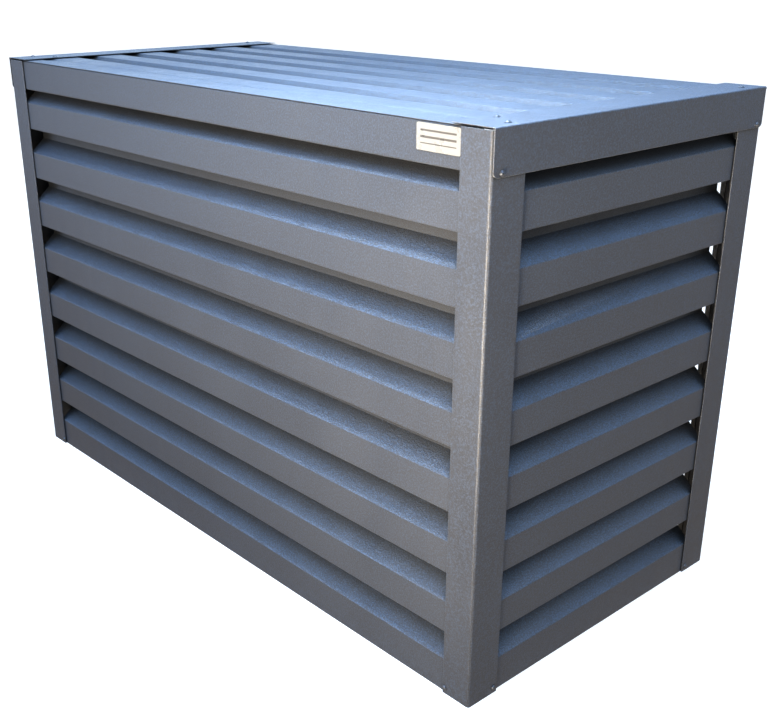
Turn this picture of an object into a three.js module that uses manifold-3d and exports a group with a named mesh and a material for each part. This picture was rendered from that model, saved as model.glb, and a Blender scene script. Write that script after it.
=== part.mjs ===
// Louvred sheet-steel housing for a home standby generator or a similar outdoor unit.
// Millimetres, +Z up. The front faces -Y and the right side faces +X. The origin is on the
// ground, at the centre of the footprint. The back and the base are open.
import * as THREE from 'three';
import { mergeVertices } from 'three/addons/utils/BufferGeometryUtils.js';
import Module from 'manifold-3d';

// Driving dimensions
const width = 1240; // over the roof caps, along X
const depth = 595; // over the posts' front and back flanges, along Y
const height = 800; // to the top of the roof caps
const gap = 0.3; // clearance between touching pieces
const frameSheet = 1; // steel of the posts, rails and caps
const slatSheet = 0.8; // steel of the slats and the roof
const hemWidth = 8; // folded-back free edge of a flange
const bendRadius = 1.5; // mid-line radius of an ordinary bend
const postBendRadius = 3.5; // mid-line radius of a post's corner bend
const bendSteps = 3; // flat facets in a bend

// Posts
const postFlange = 53; // along X, on the front and back faces
const postSideFlange = 60; // along Y, on the side faces

// Louvres
const slatCount = 8;
const slatPitch = 95;
const topFoldHeight = 719; // ground to the fold of the top slat
const slatFace = 49; // vertical face of a slat
const slopeRun = 28; // how far a slope goes inwards
const slopeRise = 25; // how far a slope climbs over that run
const slatLeg = 20; // upturned leg at the slope's inner edge
const panelSetback = 3; // slat faces stand this far behind the posts' outer faces
const panelEnd = 45; // slats and rails stop this far from the housing's corner
const slatHem = 6;
const slopeEdge = new THREE.Vector2(slopeRun, slopeRise);

// Rails
const railBottom = 744;
const railReturn = 12; // lower lip, turned inwards
const railLip = 20; // inner lip, turned down

// Slat carriers
const carrierWidth = 25;
const carrierSheet = 1.2;
const carrierTop = 788;
const carrierBottom = 78;

// Roof
const capTopFlange = 67;
const capBottom = 742;
const capCornerRadius = 8;
const capLift = 1.8; // the caps' top flanges clear the roof's crests by this much
const ribPitch = 93.5;
const ribCount = 5;
const firstRib = 131.5; // front face to the middle of the first full trough
const ribDepth = 8;
const ribFloor = 28;
const ribWeb = 8;
const pressedRib = 50; // the trough behind the front rail is pressed nearly flat
const pressedDepth = 1.5;

// Plate
const plateWidth = 73;
const plateHeight = 33;
const plateThickness = 0.8;
const plateTopInset = 3.5;
const plateCorner = 2.5;

// Screws
const screwHeadRadius = 3.1;
const screwWasherRadius = 4.3;
const screwWasher = 0.7;
const screwHead = 2.2; // washer and dome together
const screwShankRadius = 2.1;
const screwLength = 12;
const screwHoleRadius = 2.5;
const screwSides = 16;
const footScrewHeight = 9.5;
const footScrewFront = 49; // corner to the screw, on a front flange
const footScrewSide = 52; // corner to the screw, on a side flange
const capScrewFromEnd = 15;
const capScrewUp = 5; // above the cap's lower edge
const roofScrews = [
  { fromSide: 57, fromEnd: 67 },
  { fromSide: 17, fromEnd: 41 },
];

// Levels and planes worked out from them
const hemThickness = 2 * frameSheet + gap; // a hemmed edge, over its two layers
const postOuterX = width / 2 - hemThickness - gap; // outer face of a post's side flange
const postOuterY = depth / 2;
const crestTop = height - frameSheet - capLift;
const postTop = height - frameSheet - 2 * bendRadius + gap; // just under the caps' bend
const crestBottom = crestTop - slatSheet;
const hemBuild = frameSheet + gap; // distance between the two mid-lines of a hem
const wasm = await Module();
wasm.setup();

// Materials
const coating = (color) => new THREE.MeshStandardMaterial({ color, roughness: 0.55, metalness: 0.25 });
const postCoating = coating(0x43494e);
const slatCoating = coating(0x4a5056);
const roofCoating = coating(0x50575e);
const carrierCoating = coating(0x3a3f43);
const zincCoating = new THREE.MeshStandardMaterial({ color: 0x9aa0a4, roughness: 0.4, metalness: 0.8 });
const plateCoating = new THREE.MeshStandardMaterial({ color: 0xe6e0c8, roughness: 0.4, metalness: 0 });

const housing = new THREE.Group();

// Sheet outlines ------------------------------------------------------------------------------

// The mid-line with each inner corner rounded. A corner too close to the next one gets the
// largest bend that fits.
function roundedLine(path, radius) {
  const points = path.map(([x, y]) => new THREE.Vector2(x, y));
  const line = [points[0]];
  for (let i = 1; i < points.length - 1; i += 1) {
    const corner = points[i];
    const back = points[i - 1].clone().sub(corner);
    const ahead = points[i + 1].clone().sub(corner);
    const turn = Math.PI - back.angleTo(ahead);
    const room = 0.499 * Math.min(back.length(), ahead.length());
    const tangent = Math.min(radius * Math.tan(turn / 2), room);
    const start = corner.clone().addScaledVector(back.normalize(), tangent);
    const end = corner.clone().addScaledVector(ahead.normalize(), tangent);
    const bend = tangent / Math.tan(turn / 2);
    const inward = back.add(ahead).normalize();
    const centre = corner.clone().addScaledVector(inward, Math.hypot(bend, tangent));
    for (let step = 0; step <= bendSteps; step += 1) {
      const chord = start.clone().lerp(end, step / bendSteps).sub(centre);
      line.push(chord.setLength(bend).add(centre));
    }
  }
  line.push(points[points.length - 1]);
  return line;
}

// Closed outline of a bent sheet whose mid-line is the path.
function sheetShape(path, thickness, radius) {
  const line = roundedLine(path, radius);
  const sides = [[], []];
  line.forEach((point, i) => {
    const before = line[Math.max(i - 1, 0)];
    const after = line[Math.min(i + 1, line.length - 1)];
    const incoming = (i === 0 ? after.clone().sub(point) : point.clone().sub(before)).normalize();
    const outgoing = (i === line.length - 1 ? incoming.clone() : after.clone().sub(point)).normalize();
    const across = incoming.clone().add(outgoing).normalize();
    const mitre = thickness / 2 / across.dot(incoming);
    const normal = new THREE.Vector2(-across.y, across.x);
    sides[0].push(point.clone().addScaledVector(normal, mitre));
    sides[1].push(point.clone().addScaledVector(normal, -mitre));
  });
  return new THREE.Shape([...sides[0], ...sides[1].reverse()]);
}

function extruded(shape, length) {
  return new THREE.ExtrudeGeometry(shape, { depth: length, bevelEnabled: false, curveSegments: 6 });
}

// Cutting -------------------------------------------------------------------------------------

function toSolid(geometry) {
  const bare = geometry.clone();
  bare.deleteAttribute('normal');
  bare.deleteAttribute('uv');
  const merged = mergeVertices(bare, 1e-4);
  const vertProperties = new Float32Array(merged.attributes.position.array);
  const triVerts = new Uint32Array(merged.index.array);
  return new wasm.Manifold(new wasm.Mesh({ numProp: 3, vertProperties, triVerts }));
}

function toGeometry(solid) {
  const mesh = solid.getMesh();
  const geometry = new THREE.BufferGeometry();
  geometry.setAttribute('position', new THREE.BufferAttribute(mesh.vertProperties, 3));
  geometry.setIndex(new THREE.BufferAttribute(mesh.triVerts, 1));
  geometry.computeVertexNormals();
  return geometry;
}

// A screw hole through a sheet, centred on a point and running along an axis.
function drilled(geometry, holes) {
  let solid = toSolid(geometry);
  for (const { at, axis } of holes) {
    const cutter = new THREE.CylinderGeometry(screwHoleRadius, screwHoleRadius, 2 * screwLength, screwSides);
    const turn = new THREE.Quaternion().setFromUnitVectors(new THREE.Vector3(0, 1, 0), axis);
    cutter.applyQuaternion(turn);
    cutter.translate(at.x, at.y, at.z);
    solid = solid.subtract(toSolid(cutter));
  }
  return toGeometry(solid);
}

// Placing -------------------------------------------------------------------------------------

function addPiece(parent, name, geometry, material) {
  const mesh = new THREE.Mesh(geometry, material);
  mesh.name = name;
  parent.add(mesh);
  return mesh;
}

// A group whose X points into the housing, whose Y points up and whose Z runs along the panel.
function panelGroup(inward, outerFace) {
  const up = new THREE.Vector3(0, 0, 1);
  const along = inward.clone().cross(up);
  const group = new THREE.Group();
  group.quaternion.setFromRotationMatrix(new THREE.Matrix4().makeBasis(inward, up, along));
  group.position.copy(inward).multiplyScalar(-outerFace);
  housing.add(group);
  return group;
}

function addPanelSheet(panel, name, shape, length, material, holes = []) {
  const geometry = extruded(shape, length);
  geometry.translate(0, 0, -length / 2);
  addPiece(panel, name, holes.length ? drilled(geometry, holes) : geometry, material);
}

// Louvre panels -------------------------------------------------------------------------------

// Mid-line of a slat's section, from the top of its bottom hem to the top of its inner leg.
function slatPath(bottom, fold) {
  const face = panelSetback + slatSheet / 2;
  const hem = face + slatSheet + gap;
  const inner = new THREE.Vector2(face, fold).add(slopeEdge);
  return [
    [hem, bottom + slatHem],
    [hem, bottom],
    [face, bottom],
    [face, fold],
    [inner.x, inner.y],
    [inner.x, inner.y + slatLeg],
  ];
}

// Mid-line of a top rail: lower return, face, top flange and a lip in the plane of the slat legs.
function railPath(top) {
  const face = panelSetback + frameSheet / 2;
  const lip = panelSetback + slopeRun + frameSheet / 2;
  const low = railBottom + frameSheet / 2;
  const high = top - frameSheet / 2;
  return [
    [face + railReturn, low],
    [face, low],
    [face, high],
    [lip, high],
    [lip, high - railLip],
  ];
}

function addSlats(panel, side, length, footScrew) {
  for (let row = 1; row <= slatCount; row += 1) {
    const fold = topFoldHeight - (row - 1) * slatPitch;
    const lowest = row === slatCount;
    const bottom = lowest ? slatSheet / 2 : fold - slatFace + slatSheet / 2;
    const shape = sheetShape(slatPath(bottom, fold), slatSheet, bendRadius);
    const holes = lowest ? footHoles(length, footScrew) : [];
    addPanelSheet(panel, `${side}_slat_${row}`, shape, length, slatCoating, holes);
  }
}

function footHoles(length, footScrew) {
  const axis = new THREE.Vector3(1, 0, 0);
  const run = length / 2 + panelEnd - footScrew;
  return [-run, run].map((z) => ({ at: new THREE.Vector3(0, footScrewHeight, z), axis }));
}

function addCarrier(panel, name, centre) {
  const back = panelSetback + slopeRun + frameSheet + gap;
  const strip = new THREE.Shape([
    new THREE.Vector2(back, carrierBottom),
    new THREE.Vector2(back + carrierSheet, carrierBottom),
    new THREE.Vector2(back + carrierSheet, carrierTop),
    new THREE.Vector2(back, carrierTop),
  ]);
  const geometry = extruded(strip, carrierWidth);
  geometry.translate(0, 0, centre - carrierWidth / 2);
  addPiece(panel, name, geometry, carrierCoating);
}

const frontLength = width - 2 * panelEnd;
const sideLength = depth - 2 * panelEnd;
const carrierInset = carrierWidth / 2 + 1;
const underCrest = crestBottom - gap;
const underTrough = crestBottom - ribDepth - gap;

const railShape = (top) => sheetShape(railPath(top), frameSheet, bendRadius);

const front = panelGroup(new THREE.Vector3(0, 1, 0), postOuterY);
addSlats(front, 'front', frontLength, footScrewFront);
addPanelSheet(front, 'front_top_rail', railShape(underCrest), frontLength, postCoating);
addCarrier(front, 'front_left_slat_carrier', -frontLength / 2 + carrierInset);
addCarrier(front, 'front_middle_slat_carrier', 0);
addCarrier(front, 'front_right_slat_carrier', frontLength / 2 - carrierInset);

for (const [side, inwardX] of [['right', -1], ['left', 1]]) {
  const panel = panelGroup(new THREE.Vector3(inwardX, 0, 0), postOuterX);
  const frontEnd = (inwardX * sideLength) / 2; // the panel's run points to -Y on the left side
  const nearEnd = frontEnd - inwardX * carrierInset;
  addSlats(panel, side, sideLength, footScrewSide);
  addPanelSheet(panel, `${side}_top_rail`, railShape(underTrough), sideLength, postCoating);
  addCarrier(panel, `${side}_front_slat_carrier`, nearEnd);
  addCarrier(panel, `${side}_rear_slat_carrier`, -nearEnd);
}

const rear = panelGroup(new THREE.Vector3(0, -1, 0), postOuterY);
addPanelSheet(rear, 'rear_top_rail', railShape(underCrest), frontLength, postCoating);

// Posts ---------------------------------------------------------------------------------------

// Mid-line of a post in plan: hem, front or back flange, corner bend, side flange, hem.
function postPath(sideX, sideY) {
  const x = postOuterX - frameSheet / 2;
  const y = postOuterY - frameSheet / 2;
  const edgeX = width / 2 - postFlange + frameSheet / 2;
  const edgeY = depth / 2 - postSideFlange + frameSheet / 2;
  const corner = [
    [edgeX + hemWidth, y - hemBuild],
    [edgeX, y - hemBuild],
    [edgeX, y],
    [x, y],
    [x, edgeY],
    [x - hemBuild, edgeY],
    [x - hemBuild, edgeY + hemWidth],
  ];
  return corner.map(([px, py]) => [sideX * px, sideY * py]);
}

function postHoles(sideX, sideY) {
  const alongX = new THREE.Vector3(1, 0, 0);
  const alongY = new THREE.Vector3(0, 1, 0);
  const footY = sideY * (depth / 2 - footScrewSide);
  const capY = sideY * (depth / 2 - capScrewFromEnd);
  const holes = [
    { at: new THREE.Vector3(sideX * postOuterX, footY, footScrewHeight), axis: alongX },
    { at: new THREE.Vector3(sideX * postOuterX, capY, capBottom + capScrewUp), axis: alongX },
  ];
  if (sideY < 0) {
    const footX = sideX * (width / 2 - footScrewFront);
    holes.push({ at: new THREE.Vector3(footX, sideY * postOuterY, footScrewHeight), axis: alongY });
  }
  return holes;
}

const corners = [
  ['front_right', 1, -1],
  ['front_left', -1, -1],
  ['rear_right', 1, 1],
  ['rear_left', -1, 1],
];
for (const [corner, sideX, sideY] of corners) {
  const shape = sheetShape(postPath(sideX, sideY), frameSheet, postBendRadius);
  const geometry = extruded(shape, postTop);
  addPiece(housing, `${corner}_post`, drilled(geometry, postHoles(sideX, sideY)), postCoating);
}

// Roof ----------------------------------------------------------------------------------------

// Mid-line of the roof sheet from front to back, as distance from the front face and height.
function roofPath(frontEdge, backEdge) {
  const high = crestTop - slatSheet / 2;
  const path = [[frontEdge, high]];
  const troughs = [{ middle: pressedRib, fall: pressedDepth, floor: ribFloor / 2 }];
  for (let rib = 0; rib < ribCount; rib += 1) {
    troughs.push({ middle: firstRib + rib * ribPitch, fall: ribDepth, floor: ribFloor });
  }
  for (const { middle, fall, floor } of troughs) {
    path.push([middle - floor / 2 - ribWeb, high]);
    path.push([middle - floor / 2, high - fall]);
    path.push([middle + floor / 2, high - fall]);
    path.push([middle + floor / 2 + ribWeb, high]);
  }
  path.push([backEdge, high]);
  return path;
}

// Places of the screws through the caps' top flanges: two at the front, one at the back.
function roofScrewPlaces(sideX) {
  const places = roofScrews.map(({ fromSide, fromEnd }) => [
    sideX * (width / 2 - fromSide),
    fromEnd - depth / 2,
  ]);
  const outermost = roofScrews[1];
  places.push([sideX * (width / 2 - outermost.fromSide), depth / 2 - outermost.fromEnd]);
  return places;
}

const vertical = new THREE.Vector3(0, 0, 1);
const sheetInset = panelSetback; // the sheet ends inside the posts' flanges
const sheetLength = 2 * (postOuterX - sheetInset);
const roofShape = sheetShape(roofPath(sheetInset, depth - sheetInset), slatSheet, bendRadius);
const roofGroup = panelGroup(new THREE.Vector3(0, 1, 0), postOuterY);
const roofHoles = [];
for (const sideX of [-1, 1]) {
  for (const [x, y] of roofScrewPlaces(sideX)) {
    roofHoles.push({ at: new THREE.Vector3(y + depth / 2, crestTop, x), axis: new THREE.Vector3(0, 1, 0) });
  }
}
addPanelSheet(roofGroup, 'roof_sheet', roofShape, sheetLength, roofCoating, roofHoles);

// Outline of a cap's side flange seen from the side, with its two lower corners rounded.
function capSideOutline() {
  const half = depth / 2;
  const r = capCornerRadius;
  const outline = new THREE.Shape();
  outline.moveTo(-half, height + 1);
  outline.lineTo(-half, capBottom + r);
  outline.absarc(-half + r, capBottom + r, r, Math.PI, 1.5 * Math.PI, false);
  outline.lineTo(half - r, capBottom);
  outline.absarc(half - r, capBottom + r, r, 1.5 * Math.PI, 2 * Math.PI, false);
  outline.lineTo(half, height + 1);
  return outline;
}

// The folded end of a cap's side flange: a leaf turned back inside the flange.
function capHem(sideX, sideY) {
  const outer = width / 2 - frameSheet / 2;
  const leaf = outer - hemBuild;
  const end = depth / 2 - frameSheet / 2;
  const start = depth / 2 - hemWidth;
  const path = [[leaf, start], [leaf, end], [outer, end], [outer, start]];
  const section = path.map(([x, y]) => [sideX * x, sideY * y]);
  const hem = extruded(sheetShape(section, frameSheet, bendRadius), postTop - capBottom);
  return hem.translate(0, 0, capBottom);
}

// A box around the square end of a cap's side flange, which the hem takes the place of.
function capEnd(sideX, sideY) {
  const end = new THREE.BoxGeometry(4 * frameSheet, hemWidth, postTop - capBottom);
  return end.translate((sideX * width) / 2, (sideY * depth) / 2, (postTop + capBottom) / 2);
}

for (const [side, sideX] of [['right', 1], ['left', -1]]) {
  const outer = width / 2 - frameSheet / 2;
  const inner = width / 2 - capTopFlange;
  const top = height - frameSheet / 2;
  const path = [[sideX * inner, top], [sideX * outer, top], [sideX * outer, capBottom]];
  const section = sheetShape(path, frameSheet, bendRadius);
  const blank = extruded(section, depth);
  blank.rotateX(Math.PI / 2);
  blank.translate(0, depth / 2, 0);
  const outline = extruded(capSideOutline(), width);
  outline.applyMatrix4(new THREE.Matrix4().makeBasis(
    new THREE.Vector3(0, 1, 0),
    new THREE.Vector3(0, 0, 1),
    new THREE.Vector3(1, 0, 0),
  ));
  outline.translate(-width / 2, 0, 0);
  let cap = toSolid(blank);
  const holes = roofScrewPlaces(sideX).map(([x, y]) => ({
    at: new THREE.Vector3(x, y, height),
    axis: vertical,
  }));
  for (const sideY of [-1, 1]) {
    cap = cap.subtract(toSolid(capEnd(sideX, sideY))).add(toSolid(capHem(sideX, sideY)));
    const along = sideY * (depth / 2 - capScrewFromEnd);
    const at = new THREE.Vector3(sideX * (width / 2), along, capBottom + capScrewUp);
    holes.push({ at, axis: new THREE.Vector3(1, 0, 0) });
  }
  const rounded = toGeometry(cap.intersect(toSolid(outline)));
  addPiece(housing, `${side}_roof_cap`, drilled(rounded, holes), postCoating);
}

// Plate ---------------------------------------------------------------------------------------

function plateShape() {
  const w = plateWidth / 2;
  const h = plateHeight / 2;
  const r = plateCorner;
  const shape = new THREE.Shape();
  shape.absarc(w - r, h - r, r, 0, Math.PI / 2, false);
  shape.absarc(-w + r, h - r, r, Math.PI / 2, Math.PI, false);
  shape.absarc(-w + r, -h + r, r, Math.PI, 1.5 * Math.PI, false);
  shape.absarc(w - r, -h + r, r, 1.5 * Math.PI, 2 * Math.PI, false);
  return shape;
}

const plate = addPiece(housing, 'blank_plate', extruded(plateShape(), plateThickness), plateCoating);
plate.rotation.x = Math.PI / 2;
plate.position.x = width / 2 - postFlange - 1 - plateWidth / 2;
plate.position.y = -depth / 2 + panelSetback - gap;
plate.position.z = crestTop - plateTopInset - plateHeight / 2;

// Screws --------------------------------------------------------------------------------------

// A washer-head screw that points down from its seat at the origin.
function screwGeometry() {
  const profile = [
    [0, -screwLength],
    [screwShankRadius * 0.4, -screwLength + 1],
    [screwShankRadius, -screwLength + 3.5],
    [screwShankRadius, gap],
    [screwWasherRadius, gap],
    [screwWasherRadius, gap + screwWasher * 0.6],
    [screwHeadRadius + 0.3, gap + screwWasher],
    [screwHeadRadius, gap + screwWasher + 0.5],
    [screwHeadRadius * 0.75, gap + screwHead - 0.4],
    [screwHeadRadius * 0.35, gap + screwHead],
    [0, gap + screwHead],
  ];
  return new THREE.LatheGeometry(profile.map(([r, h]) => new THREE.Vector2(r, h)), screwSides);
}

function addScrew(name, x, y, z, outward) {
  const screw = addPiece(housing, name, screwGeometry(), zincCoating);
  screw.quaternion.setFromUnitVectors(new THREE.Vector3(0, 1, 0), outward);
  screw.position.set(x, y, z);
}

for (const [side, sideX] of [['right', 1], ['left', -1]]) {
  const outward = new THREE.Vector3(sideX, 0, 0);
  for (const [end, sideY] of [['front', -1], ['rear', 1]]) {
    const capY = sideY * (depth / 2 - capScrewFromEnd);
    const footY = sideY * (depth / 2 - footScrewSide);
    addScrew(`${side}_cap_${end}_screw`, (sideX * width) / 2, capY, capBottom + capScrewUp, outward);
    addScrew(`${side}_${end}_foot_screw`, sideX * postOuterX, footY, footScrewHeight, outward);
  }
  const roofNames = ['inner', 'outer', 'rear'];
  roofScrewPlaces(sideX).forEach(([x, y], i) => {
    addScrew(`${side}_roof_${roofNames[i]}_screw`, x, y, height, vertical);
  });
  const footX = sideX * (width / 2 - footScrewFront);
  addScrew(`front_${side}_foot_screw`, footX, -postOuterY, footScrewHeight, new THREE.Vector3(0, -1, 0));
}

// The front screws' heads stand proud of the front face, so the middle of the footprint is
// half a head in front of the middle of the posts.
housing.position.y = (screwHead + gap) / 2;
const assembly = new THREE.Group();
assembly.add(housing);

export default assembly;
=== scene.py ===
"""Looks of a louvred sheet-steel generator housing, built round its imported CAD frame."""

import math

import bmesh
import bpy
from mathutils import Matrix, Vector


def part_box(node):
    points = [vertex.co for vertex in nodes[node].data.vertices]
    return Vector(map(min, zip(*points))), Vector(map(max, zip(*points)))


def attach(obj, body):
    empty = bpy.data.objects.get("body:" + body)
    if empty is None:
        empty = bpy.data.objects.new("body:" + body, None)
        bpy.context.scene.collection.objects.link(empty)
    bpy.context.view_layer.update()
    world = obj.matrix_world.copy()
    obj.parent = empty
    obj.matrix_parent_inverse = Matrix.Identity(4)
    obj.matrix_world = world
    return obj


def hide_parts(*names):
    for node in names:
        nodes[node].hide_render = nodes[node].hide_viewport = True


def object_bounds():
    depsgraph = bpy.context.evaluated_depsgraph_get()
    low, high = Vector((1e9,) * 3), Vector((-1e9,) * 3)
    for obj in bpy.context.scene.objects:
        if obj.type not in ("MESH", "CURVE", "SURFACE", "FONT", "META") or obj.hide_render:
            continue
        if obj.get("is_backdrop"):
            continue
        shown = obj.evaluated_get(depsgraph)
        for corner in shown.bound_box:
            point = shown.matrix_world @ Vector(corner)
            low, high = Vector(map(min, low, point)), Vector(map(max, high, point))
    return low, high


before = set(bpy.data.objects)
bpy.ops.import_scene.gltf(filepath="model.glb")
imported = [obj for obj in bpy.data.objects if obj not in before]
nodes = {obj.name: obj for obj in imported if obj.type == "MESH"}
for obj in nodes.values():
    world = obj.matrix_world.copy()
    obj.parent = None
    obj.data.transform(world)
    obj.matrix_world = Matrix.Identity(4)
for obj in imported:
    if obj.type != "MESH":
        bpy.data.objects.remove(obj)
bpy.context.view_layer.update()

MM = 0.001

# Camera --------------------------------------------------------------------------------------

SENSOR = 36.0  # width in millimetres, which the lens length goes with
CAMERA_TURN = (67.933, 0.186, 48.353)  # degrees

camera_data = bpy.data.cameras.new("camera")
camera_data.sensor_width = SENSOR
camera_data.lens = 49.779
camera_data.shift_x = 0.0383
camera_data.shift_y = 0.0366
camera_data.clip_end = 200.0
camera = bpy.data.objects.new("camera", camera_data)
camera.location = (1.4241, -1.2195, 0.9784)
camera.rotation_euler = [math.radians(angle) for angle in CAMERA_TURN]
bpy.context.scene.collection.objects.link(camera)
bpy.context.scene.camera = camera


# Node helpers --------------------------------------------------------------------------------


class Shader:
    """A Principled material and short ways to add nodes to it."""

    def __init__(self, name):
        self.material = bpy.data.materials.new(name)
        self.material.use_nodes = True
        self.tree = self.material.node_tree
        self.bsdf = self.tree.nodes["Principled BSDF"]
        coordinates = self.tree.nodes.new("ShaderNodeTexCoord")
        self.place = coordinates.outputs["Object"]

    def link(self, source, target):
        self.tree.links.new(source, target)

    def set(self, **values):
        """Constants for the shader's own sockets, with _ for each space in a socket's name."""
        for name, value in values.items():
            self.bsdf.inputs[name.replace("_", " ")].default_value = value

    def noise(self, scale, detail=3.0, rough=0.55, place=None):
        node = self.tree.nodes.new("ShaderNodeTexNoise")
        node.inputs["Scale"].default_value = scale
        node.inputs["Detail"].default_value = detail
        node.inputs["Roughness"].default_value = rough
        self.link(place or self.place, node.inputs["Vector"])
        return node.outputs["Fac"]

    def stretched(self, x, y, z):
        """The place, scaled along each axis, for noise that runs in streaks."""
        node = self.tree.nodes.new("ShaderNodeMapping")
        node.inputs["Scale"].default_value = (x, y, z)
        self.link(self.place, node.inputs["Vector"])
        return node.outputs["Vector"]

    def remap(self, value, low, high, to_low=0.0, to_high=1.0):
        """A smooth step from one range to another, held at its ends."""
        node = self.tree.nodes.new("ShaderNodeMapRange")
        node.interpolation_type = "SMOOTHSTEP"
        node.inputs["From Min"].default_value = low
        node.inputs["From Max"].default_value = high
        node.inputs["To Min"].default_value = to_low
        node.inputs["To Max"].default_value = to_high
        self.link(value, node.inputs["Value"])
        return node.outputs["Result"]

    def math(self, operation, a, b):
        """A sum, difference or product of numbers or sockets, held between 0 and 1."""
        node = self.tree.nodes.new("ShaderNodeMath")
        node.operation = operation
        node.use_clamp = True
        for slot, value in enumerate((a, b)):
            if isinstance(value, (int, float)):
                node.inputs[slot].default_value = value
            else:
                self.link(value, node.inputs[slot])
        return node.outputs["Value"]

    def times(self, a, b):
        return self.math("MULTIPLY", a, b)

    def blend(self, a, b, share):
        """The first value with a share of the second in it."""
        return self.math("ADD", self.times(a, 1.0 - share), self.times(b, share))

    def mix(self, factor, a, b):
        """From colour a to colour b by a factor."""
        node = self.tree.nodes.new("ShaderNodeMix")
        node.data_type = "RGBA"
        for name, value in (("Factor", factor), ("A", a), ("B", b)):
            socket = [s for s in node.inputs if s.name == name and s.enabled][0]
            if isinstance(value, (int, float, tuple)):
                socket.default_value = value
            else:
                self.link(value, socket)
        return [s for s in node.outputs if s.enabled][0]

    def rounded(self, radius):
        """The surface normal, turned smoothly over bends and edges."""
        bevel = self.tree.nodes.new("ShaderNodeBevel")
        bevel.samples = 6
        bevel.inputs["Radius"].default_value = radius
        return bevel.outputs["Normal"]

    def bump(self, height, strength, distance, normal=None):
        node = self.tree.nodes.new("ShaderNodeBump")
        node.inputs["Strength"].default_value = strength
        node.inputs["Distance"].default_value = distance
        self.link(height, node.inputs["Height"])
        if normal:
            self.link(normal, node.inputs["Normal"])
        return node.outputs["Normal"]

    def edges(self, radius, low=0.02, high=0.35):
        """1 along sharp edges and 0 on flats, from the angle between rounded and true normals."""
        geometry = self.tree.nodes.new("ShaderNodeNewGeometry")
        dot = self.tree.nodes.new("ShaderNodeVectorMath")
        dot.operation = "DOT_PRODUCT"
        self.link(self.rounded(radius), dot.inputs[0])
        self.link(geometry.outputs["Normal"], dot.inputs[1])
        return self.remap(self.math("SUBTRACT", 1.0, dot.outputs["Value"]), low, high)

    def openness(self, reach):
        """1 on open faces, falling towards 0 deep in a recess."""
        node = self.tree.nodes.new("ShaderNodeAmbientOcclusion")
        node.samples = 6
        node.inputs["Distance"].default_value = reach
        return node.outputs["AO"]

    def facing(self, axis):
        """The surface normal's share along X, Y or Z."""
        geometry = self.tree.nodes.new("ShaderNodeNewGeometry")
        split = self.tree.nodes.new("ShaderNodeSeparateXYZ")
        self.link(geometry.outputs["Normal"], split.inputs["Vector"])
        return split.outputs[axis]

    def along(self, axis):
        """The place along X, Y or Z, in metres."""
        split = self.tree.nodes.new("ShaderNodeSeparateXYZ")
        self.link(self.place, split.inputs["Vector"])
        return split.outputs[axis]


def tone(red, green, blue):
    return (red, green, blue, 1.0)


# Materials -----------------------------------------------------------------------------------

# Noise scales, per metre
GRAIN = 430.0  # the coating's texture
FINE_GRAIN = 1300.0
PATCH = 5.0  # broad unevenness
STREAK = 24.0  # upright streaks
SWELL = 6.0  # the sheet's slight waviness
DUST_FILM = 30.0
SPLASH = 70.0  # dirt by the ground
EDGE_BREAKS = 90.0  # breaks in the lighter edge band of rubbed coat and painted highlight
SPANGLE = 1400.0  # zinc crystals
CLOUD = 60.0  # unevenness of the plate's paint
PLATE_GRAIN = 500.0

# Colours over the coating: dust, rubbed edges, and painted glints, painted highlights and painted shade
DUST = tone(0.14, 0.18, 0.25)
PAINTED_GLINT = tone(0.075, 0.11, 0.17)  # painted glints: sky light caught on the grain's peaks
# lighter edges: rubbed coat and painted highlight
WORN_AND_HIGHLIGHT = tone(0.50, 0.50, 0.49)
# painted shade in recesses
PAINTED_RECESS_SHADE = tone(0.006, 0.006, 0.006)

# Lengths
COAT_EDGE = 1.1 * MM  # from an edge, how far the lighter band of rubbed coat and painted highlight reaches
BEND = 1.4 * MM  # radius that the coating's normals are turned over
GRAIN_DEPTH = 1.4 * MM
FINE_DEPTH = 0.08 * MM
SWELL_DEPTH = 2 * MM
SPLASH_TOP = 50 * MM  # height of the dirt by the ground
RECESS_REACH = 80 * MM  # how far round a point its openness is judged, for the painted shade and the duller recesses


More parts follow.
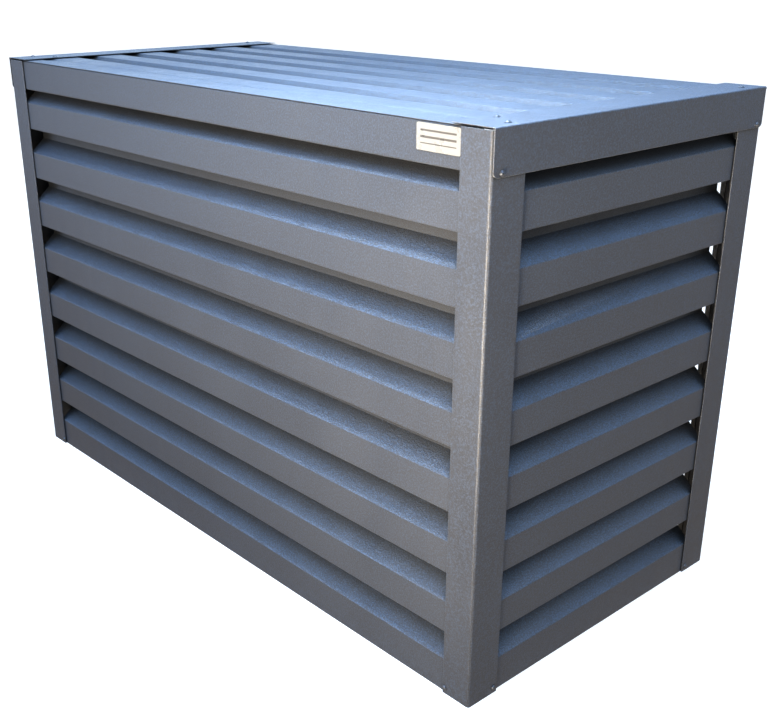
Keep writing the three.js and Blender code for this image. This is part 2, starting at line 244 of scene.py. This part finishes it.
def coated_steel(name, dark, light, wear_and_highlight, dusting=0.2):
    """Fine-textured anthracite powder coat, lighter on its edges from rubbed coat and a painted highlight,
    with painted glints on its grain and painted shade in recesses.
    """
    s = Shader(name)
    upward = s.facing("Z")
    grain = s.noise(GRAIN, 3.0, 0.65)
    fine = s.noise(FINE_GRAIN, 2.0, 0.6)
    patch = s.noise(PATCH, 3.0, 0.5)
    streaks = s.noise(STREAK, 4.0, 0.6, s.stretched(1.0, 1.0, 0.1))
    unevenness = s.remap(s.blend(patch, streaks, 0.4), 0.35, 0.65)
    base = s.mix(s.times(unevenness, 0.5), dark, light)

    # Painted glints: the grain's peaks lightened to sky blue, more on upward faces
    glint_speckle = s.remap(s.blend(grain, fine, 0.4), 0.45, 0.61)
    base = s.mix(s.times(glint_speckle, s.remap(upward, 0.0, 0.7, 0.5, 1.0)), base, PAINTED_GLINT)

    film = s.times(s.remap(s.noise(DUST_FILM, 5.0, 0.6), 0.2, 0.8), s.remap(upward, 0.3, 0.95))
    base = s.mix(s.times(film, dusting), base, DUST)
    low_down = s.remap(s.along("Z"), SPLASH_TOP, 0.0)
    splash = s.times(low_down, s.remap(s.noise(SPLASH, 5.0, 0.7), 0.4, 0.7))
    base = s.mix(s.times(splash, 0.12), base, DUST)

    # Edges lightened: partly rubbed coat, partly a painted highlight on the bends
    rub_and_highlight = s.times(s.edges(COAT_EDGE), s.remap(s.noise(EDGE_BREAKS, 4.0, 0.7), 0.3, 0.6, 0.45, 1.0))
    base = s.mix(s.times(rub_and_highlight, wear_and_highlight), base, WORN_AND_HIGHLIGHT)
    # Painted shade: the coat darkened to near black where ambient occlusion finds a recess, as under the
    # slats
    openness = s.openness(RECESS_REACH)
    base = s.mix(s.remap(openness, 0.96, 0.5, 0.0, 0.95), base, PAINTED_RECESS_SHADE)
    s.link(base, s.bsdf.inputs["Base Color"])

    gloss = s.remap(s.blend(unevenness, grain, 0.5), 0.2, 0.8, 0.34, 0.44)
    matt = s.math("ADD", s.times(film, 0.12), s.remap(openness, 0.95, 0.5, 0.0, 0.35))
    s.link(s.math("ADD", gloss, matt), s.bsdf.inputs["Roughness"])

    wave = s.bump(s.noise(SWELL, 2.0, 0.5), 0.1, SWELL_DEPTH, s.rounded(BEND))
    relief = s.times(s.math("SUBTRACT", grain, 0.2), s.remap(upward, 0.1, 0.6, 0.35, 1.0))
    texture = s.bump(relief, 1.0, GRAIN_DEPTH, wave)
    s.link(s.bump(fine, 0.4, FINE_DEPTH, texture), s.bsdf.inputs["Normal"])
    s.set(Metallic=0.0, IOR=1.5, Specular_IOR_Level=0.55)
    return s.material


def zinc(name):
    """Dull passivated zinc with a fine spangle, and a painted highlight on its edges."""
    s = Shader(name)
    spangle = s.noise(SPANGLE, 3.0, 0.6)
    base = s.mix(s.remap(spangle, 0.35, 0.65), tone(0.09, 0.10, 0.12), tone(0.18, 0.19, 0.21))
    # Painted highlight: the rims lightened towards pale grey
    base = s.mix(s.times(s.edges(0.4 * MM), 0.5), base, tone(0.6, 0.6, 0.6))
    s.link(base, s.bsdf.inputs["Base Color"])
    s.link(s.remap(spangle, 0.3, 0.7, 0.36, 0.5), s.bsdf.inputs["Roughness"])
    s.link(s.bump(spangle, 0.2, 0.2 * MM), s.bsdf.inputs["Normal"])
    s.set(Metallic=0.8)
    return s.material


RULES = ((0.74, 1.4 * MM), (0.5, 1.6 * MM), (0.27, 0.9 * MM))  # share of the height, half thickness
RULE_MARGIN = 6 * MM  # left clear at both ends of a rule
RULE_END_FADE = 1 * MM
RULE_SIDE_FADE = 0.4 * MM


def cream_plate(name, node):
    """A cream plate with three plain printed rules, its rim lightened as a painted highlight."""
    s = Shader(name)
    low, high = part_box(node)
    left = low.x + RULE_MARGIN
    right = high.x - RULE_MARGIN
    cloud = s.noise(CLOUD, 5.0, 0.6)
    base = s.mix(s.remap(cloud, 0.35, 0.7), tone(0.215, 0.21, 0.19), tone(0.235, 0.23, 0.21))
    past_left = s.remap(s.along("X"), left, left + RULE_END_FADE)
    past_right = s.remap(s.along("X"), right, right - RULE_END_FADE)
    ends = s.times(past_left, past_right)
    for share, thick in RULES:
        middle = low.z + share * (high.z - low.z)
        above = s.remap(s.along("Z"), middle - thick, middle - thick + RULE_SIDE_FADE)
        below = s.remap(s.along("Z"), middle + thick, middle + thick - RULE_SIDE_FADE)
        line = s.times(s.times(above, below), ends)
        base = s.mix(s.times(line, 0.85), base, tone(0.035, 0.026, 0.015))
    # Painted highlight: the plate's rim lightened
    base = s.mix(s.times(s.edges(1.2 * MM), 0.35), base, tone(0.45, 0.40, 0.30))
    s.link(base, s.bsdf.inputs["Base Color"])
    s.link(s.remap(cloud, 0.3, 0.7, 0.24, 0.36), s.bsdf.inputs["Roughness"])
    s.link(s.bump(s.noise(PLATE_GRAIN, 2.0, 0.5), 0.08, 0.4 * MM), s.bsdf.inputs["Normal"])
    return s.material


# The posts get the strongest lighter edges, which paint the highlight on their corner bends
post_coat = coated_steel("post_coat", tone(0.037, 0.038, 0.043), tone(0.050, 0.051, 0.056), 0.8)
slat_coat = coated_steel("slat_coat", tone(0.038, 0.039, 0.044), tone(0.051, 0.052, 0.057), 0.25)
roof_coat = coated_steel("roof_coat", tone(0.040, 0.045, 0.054), tone(0.053, 0.059, 0.070), 0.35, 0.12)
inner_coat = coated_steel("inner_coat", tone(0.050, 0.052, 0.056), tone(0.068, 0.070, 0.075), 0.3)
zinc_plate = zinc("zinc_plate")
plate_print = cream_plate("cream_plate", "blank_plate")

# CAD nodes -----------------------------------------------------------------------------------

WELD_REACH = 0.01 * MM
EDGE_ROUNDING = 0.22 * MM  # the coated sheet's slightly soft edges
EDGE_ANGLE = math.radians(50.0)  # and only where it bends more than this


def finish_for(node):
    """The material of a CAD node, from its name."""
    if "carrier" in node:
        return inner_coat
    if "_slat_" in node:
        return slat_coat
    if node == "roof_sheet":
        return roof_coat
    if node.endswith("_screw"):
        return zinc_plate
    if node == "blank_plate":
        return plate_print
    return post_coat


for node_name, part in nodes.items():
    part.data.materials.clear()
    part.data.materials.append(finish_for(node_name))
    weld = part.modifiers.new("weld", "WELD")
    weld.merge_threshold = WELD_REACH
    bevel = part.modifiers.new("soft_edges", "BEVEL")
    bevel.width = EDGE_ROUNDING
    bevel.segments = 2
    bevel.limit_method = "ANGLE"
    bevel.angle_limit = EDGE_ANGLE
    bevel.harden_normals = False

# Turned pieces -------------------------------------------------------------------------------

RING = 28  # segments round a screw or rivet
SHARP = math.radians(40.0)  # edges bent more than this are drawn sharp
SEAT_GAP = 0.02 * MM  # left under a washer or rivet, so that it does not cut into the sheet


def lathe(name, profile, material):
    """A closed mesh turned round Z from a profile of (radius, height) that starts and ends on the axis."""
    bm = bmesh.new()
    start = bm.verts.new((0.0, 0.0, profile[0][1]))
    end = bm.verts.new((0.0, 0.0, profile[-1][1]))
    rings = []
    for radius, level in profile[1:-1]:
        ring = []
        for step in range(RING):
            turn = 2 * math.pi * step / RING
            ring.append(bm.verts.new((radius * math.cos(turn), radius * math.sin(turn), level)))
        rings.append(ring)
    for step in range(RING):
        following = (step + 1) % RING
        bm.faces.new((start, rings[0][following], rings[0][step]))
        for lower, upper in zip(rings, rings[1:]):
            bm.faces.new((lower[step], lower[following], upper[following], upper[step]))
        bm.faces.new((end, rings[-1][step], rings[-1][following]))
    bmesh.ops.recalc_face_normals(bm, faces=bm.faces)
    mesh = bpy.data.meshes.new(name)
    bm.to_mesh(mesh)
    bm.free()
    mesh.materials.append(material)
    return mesh


def placed(mesh, name, matrix):
    """A copy of a mesh moved into place as a piece of the object."""
    copy = mesh.copy()
    copy.transform(matrix)
    for face in copy.polygons:
        face.use_smooth = True
    copy.set_sharp_from_angle(angle=SHARP)
    piece = bpy.data.objects.new(name, copy)
    bpy.context.scene.collection.objects.link(piece)
    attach(piece, "root")
    return piece


def turned_to(direction):
    """The matrix that turns Z to a direction."""
    return direction.to_track_quat("Z", "Y").to_matrix().to_4x4()


# Screws --------------------------------------------------------------------------------------

SCREW_TOP = 2.5 * MM  # from the sheet to the top of the head
THREAD_PITCH = 1.3 * MM
TWIST = 2.4  # radians from one screw's cross to the next, so that no two stand alike


def screw_profile():
    """From the point of the shank up: thread ridges, neck, washer and low domed head."""
    shank = 1.75 * MM
    crest = 2.1 * MM
    washer = 4.25 * MM
    head = 3.1 * MM
    shoulder = SEAT_GAP + 1.2 * MM  # where the head's dome starts
    profile = [(0.0, -12.0 * MM), (0.5 * MM, -11.6 * MM), (shank, -9.0 * MM)]
    for ridge in range(6):
        level = -8.5 * MM + ridge * THREAD_PITCH
        profile += [(shank, level), (crest, level + 0.3 * MM)]
        profile += [(crest, level + 0.4 * MM), (shank, level + 0.7 * MM)]
    profile += [(shank, SEAT_GAP), (washer - 0.15 * MM, SEAT_GAP)]
    profile += [(washer, SEAT_GAP + 0.15 * MM), (washer, SEAT_GAP + 0.8 * MM)]
    profile += [(washer - 0.2 * MM, SEAT_GAP + 1.0 * MM), (head, SEAT_GAP + 1.05 * MM)]
    for step in range(5):
        lean = math.radians(12.0 + step * 17.0)
        rise = shoulder + (SCREW_TOP - shoulder) * math.sin(lean)
        profile.append((head * math.cos(lean), rise))
    profile.append((0.0, SCREW_TOP))
    return profile


def cross_cutter():
    """A cross-shaped solid that cuts the driver's recess in a screw's head."""
    arm = 1.9 * MM
    half = 0.45 * MM  # half the width of an arm
    taper = 0.7  # of the outline, at the recess's floor
    deep = SCREW_TOP - 1.3 * MM
    top = SCREW_TOP + 1.0 * MM
    outline = []
    for quarter in range(4):
        turn = Matrix.Rotation(quarter * math.pi / 2, 3, "Z")
        for across, side in ((arm, -half), (arm, half), (half, half)):
            outline.append(turn @ Vector((across, side, 0.0)))
    bm = bmesh.new()
    base = [bm.verts.new((p.x * taper, p.y * taper, deep)) for p in outline]
    face = [bm.verts.new((p.x, p.y, top)) for p in outline]
    bm.faces.new(base[::-1])
    bm.faces.new(face)
    for step in range(len(outline)):
        following = (step + 1) % len(outline)
        bm.faces.new((base[step], base[following], face[following], face[step]))
    bmesh.ops.recalc_face_normals(bm, faces=bm.faces)
    mesh = bpy.data.meshes.new("cross_cutter")
    bm.to_mesh(mesh)
    bm.free()
    return mesh


def cut(mesh, cutter_mesh, name):
    """The first mesh with the second taken out of it."""
    body = bpy.data.objects.new("uncut", mesh)
    cutter = bpy.data.objects.new("cutter", cutter_mesh)
    for item in (body, cutter):
        bpy.context.scene.collection.objects.link(item)
    boolean = body.modifiers.new("recess", "BOOLEAN")
    boolean.operation = "DIFFERENCE"
    boolean.solver = "EXACT"
    boolean.object = cutter
    bpy.context.view_layer.update()
    evaluated = body.evaluated_get(bpy.context.evaluated_depsgraph_get())
    result = bpy.data.meshes.new_from_object(evaluated)
    result.name = name
    for item in (body, cutter):
        bpy.data.objects.remove(item)
    return result


def outward_of(node):
    """The direction that a screw's head faces, from its node's name."""
    if "_roof_" in node:
        return Vector((0.0, 0.0, 1.0))
    if node.startswith("front_"):
        return Vector((0.0, -1.0, 0.0))
    return Vector((1.0 if node.startswith("right") else -1.0, 0.0, 0.0))


def seat_matrix(node, twist):
    """Turns and moves a screw from the origin to a CAD screw's seat."""
    low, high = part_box(node)
    outward = outward_of(node)
    half_length = max(high - low) / 2
    seat = (low + high) / 2 + outward * (half_length - SCREW_TOP)
    return Matrix.Translation(seat) @ turned_to(outward) @ Matrix.Rotation(twist, 4, "Z")


screw_mesh = cut(lathe("turned_screw", screw_profile(), zinc_plate), cross_cutter(), "screw")
screw_nodes = sorted(node for node in nodes if node.endswith("_screw"))
for index, node_name in enumerate(screw_nodes):
    matrix = seat_matrix(node_name, index * TWIST)
    screw = placed(screw_mesh, f"{node_name}_turned", matrix)
    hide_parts(node_name)

# Rivets --------------------------------------------------------------------------------------

SLATS = 8  # on each side, numbered from 1
LEG_MIDDLE = 10 * MM  # from a slat's upper edge down to the middle of its inner leg
INWARD = {"front": Vector((0, 1, 0)), "right": Vector((-1, 0, 0)), "left": Vector((1, 0, 0))}


def rivet_profile():
    """From the stem's end up: stem, low dome and the dimple over the drawn pin."""
    stem = 1.6 * MM
    flange = 3.2 * MM
    dimple = 0.7 * MM  # height of its floor
    profile = [(0.0, -0.6 * MM), (stem, -0.6 * MM), (stem, SEAT_GAP), (flange, SEAT_GAP)]
    profile += [(flange + 0.1 * MM, 0.25 * MM), (2.6 * MM, 0.8 * MM), (1.5 * MM, 1.1 * MM)]
    profile += [(0.9 * MM, 1.1 * MM), (0.75 * MM, dimple), (0.0, dimple)]
    return profile


rivet_mesh = lathe("rivet", rivet_profile(), zinc_plate)
for node_name in sorted(node for node in nodes if node.endswith("_carrier")):
    side = node_name.split("_")[0]
    inward = INWARD[side]
    low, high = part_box(node_name)
    half_depth = Vector([abs(c) for c in inward]).dot(high - low) / 2
    at = (low + high) / 2 + inward * half_depth
    for row in range(1, SLATS + 1):
        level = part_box(f"{side}_slat_{row}")[1].z - LEG_MIDDLE
        matrix = Matrix.Translation((at.x, at.y, level)) @ turned_to(inward)
        placed(rivet_mesh, f"{node_name}_rivet_{row}", matrix)

# Stage ---------------------------------------------------------------------------------------

FLOOR_HALF = 60.0  # metres
MOTTLE = 3.0  # noise scale of the floor's paint, per metre


def pale_floor():
    """Pale matt paint that gives off a little light, so that no shadow is deep on it."""
    s = Shader("floor_paint")
    mottle = s.noise(MOTTLE, 4.0, 0.6)
    s.link(s.mix(mottle, tone(0.86, 0.81, 0.76), tone(0.90, 0.85, 0.80)), s.bsdf.inputs["Base Color"])
    s.link(s.remap(mottle, 0.3, 0.7, 0.8, 0.9), s.bsdf.inputs["Roughness"])
    s.set(Specular_IOR_Level=0.2, Emission_Strength=0.6, Emission_Color=tone(1.0, 0.96, 0.90))
    return s.material


floor_corners = [(x * FLOOR_HALF, y * FLOOR_HALF, 0.0) for x, y in ((-1, -1), (1, -1), (1, 1), (-1, 1))]
floor_mesh = bpy.data.meshes.new("floor")
floor_mesh.from_pydata(floor_corners, [], [(0, 1, 2, 3)])
floor_mesh.materials.append(pale_floor())
floor = bpy.data.objects.new("floor", floor_mesh)
bpy.context.scene.collection.objects.link(floor)
floor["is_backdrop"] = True
floor.visible_diffuse = False
floor.visible_glossy = False
floor.visible_shadow = False

# Light ---------------------------------------------------------------------------------------

SKY = tone(0.60, 0.77, 1.0)
GROUND = tone(0.50, 0.42, 0.33)
HORIZON = (-0.08, 0.04)  # heights on the unit sphere between which ground turns to sky
WORLD_STRENGTH = 0.85


def sky_over_ground():
    """A world of two even colours with a soft horizon."""
    world = bpy.data.worlds.new("studio")
    world.use_nodes = True
    tree = world.node_tree
    background = tree.nodes["Background"]
    direction = tree.nodes.new("ShaderNodeTexCoord")
    split = tree.nodes.new("ShaderNodeSeparateXYZ")
    rise = tree.nodes.new("ShaderNodeMapRange")
    rise.interpolation_type = "SMOOTHSTEP"
    rise.inputs["From Min"].default_value = HORIZON[0]
    rise.inputs["From Max"].default_value = HORIZON[1]
    blend = tree.nodes.new("ShaderNodeMixRGB")
    blend.inputs["Color1"].default_value = GROUND
    blend.inputs["Color2"].default_value = SKY
    tree.links.new(direction.outputs["Generated"], split.inputs["Vector"])
    tree.links.new(split.outputs["Z"], rise.inputs["Value"])
    tree.links.new(rise.outputs["Result"], blend.inputs["Fac"])
    tree.links.new(blend.outputs["Color"], background.inputs["Color"])
    background.inputs["Strength"].default_value = WORLD_STRENGTH
    return world


def softbox(name, place, aim, width, height, power, color, spread=180.0):
    """A rectangular area light at a place, turned to its aim. Power in watts, spread in degrees."""
    data = bpy.data.lights.new(name, "AREA")
    data.shape = "RECTANGLE"
    data.size = width
    data.size_y = height
    data.energy = power
    data.color = color
    data.spread = math.radians(spread)
    lamp = bpy.data.objects.new(name, data)
    lamp.location = place
    direction = Vector(aim) - Vector(place)
    lamp.rotation_euler = direction.to_track_quat("-Z", "Y").to_euler()
    lamp.visible_camera = False
    bpy.context.scene.collection.objects.link(lamp)


bpy.context.scene.world = sky_over_ground()
softbox("sky_panel", (0.4, -0.8, 2.6), (0.1, -0.1, 0.6), 1.8, 1.8, 102.0, (0.30, 0.56, 1.0))
softbox("roof_panel", (0.36, -0.3, 1.38), (0.36, -0.3, 0.8), 0.4, 0.3, 26.0, (0.74, 0.87, 1.0))
softbox("front_panel", (0.95, -1.9, 0.05), (0.5, -0.3, 0.95), 0.6, 0.4, 25.0, (1.0, 0.86, 0.68), 72.0)
softbox("side_sky", (1.5, -0.1, 2.2), (0.6, 0.0, 0.5), 0.8, 1.2, 16.0, (0.45, 0.68, 1.0))
softbox("left_card", (-2.4, -2.6, 0.45), (-0.4, -0.3, 0.3), 1.4, 0.6, 17.0, (0.5, 0.68, 1.0))
softbox("rear_card", (-4.5, 1.8, 2.1), (-0.2, 0.0, 0.8), 3.4, 1.4, 30.0, (0.62, 0.80, 1.0))
softbox("edge_strip", (1.65, -1.45, -0.1), (0.6, -0.3, 0.45), 0.08, 1.6, 4.0, (1.0, 0.97, 0.93))

bpy.context.scene.view_settings.view_transform = "Standard"

low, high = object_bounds()
